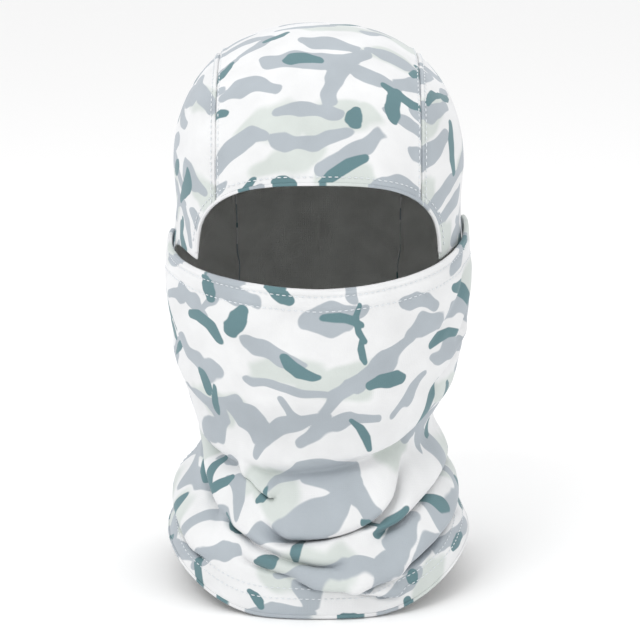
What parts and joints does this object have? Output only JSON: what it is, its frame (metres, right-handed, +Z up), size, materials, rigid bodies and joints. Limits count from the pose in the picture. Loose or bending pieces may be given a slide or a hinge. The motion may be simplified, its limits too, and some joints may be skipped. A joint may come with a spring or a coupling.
{
  "type": "hinged balaclava",
  "caption": "Thin stretch-knit hood with an eye opening, a long gathered neck, and a face cover that turns down under the chin.",
  "frame": {"origin": "on the ground under the middle of the bottom hem", "axes": "+Z up through the crown, the face looks towards -Y, +X towards the right of someone who faces it"},
  "size_m": [0.1832, 0.2059, 0.32],
  "materials": {
    "printed_cloth": "smooth stretch knit, white with a pale sage, grey-blue and muted teal print",
    "cloth_inside": "unprinted grey side of the knit",
    "thread": "pale grey flat seam stitching"
  },
  "bodies": {
    "hood": {"crown_panel": "printed_cloth", "left_side_panel": "printed_cloth", "right_side_panel": "printed_cloth", "front_panel": "printed_cloth", "brow_hem": "cloth_inside", "bottom_hem": "cloth_inside", "brow_hem_thread": "thread", "bottom_hem_thread_upper": "thread", "bottom_hem_thread_lower": "thread", "left_crown_seam_thread": "thread", "right_crown_seam_thread": "thread", "left_side_seam_thread": "thread", "right_side_seam_thread": "thread"},
    "cover": {"face_cover": "printed_cloth", "face_cover_hem": "cloth_inside", "face_cover_thread_upper": "thread", "face_cover_thread_lower": "thread"}
  },
  "joints": [
    {"name": "face_cover_hinge", "type": "hinge", "parent": "hood", "child": "cover", "pos_m": [0, 0.008, 0.198], "axis": [1, 0, 0], "range_deg": [0, 45]}
  ]
}
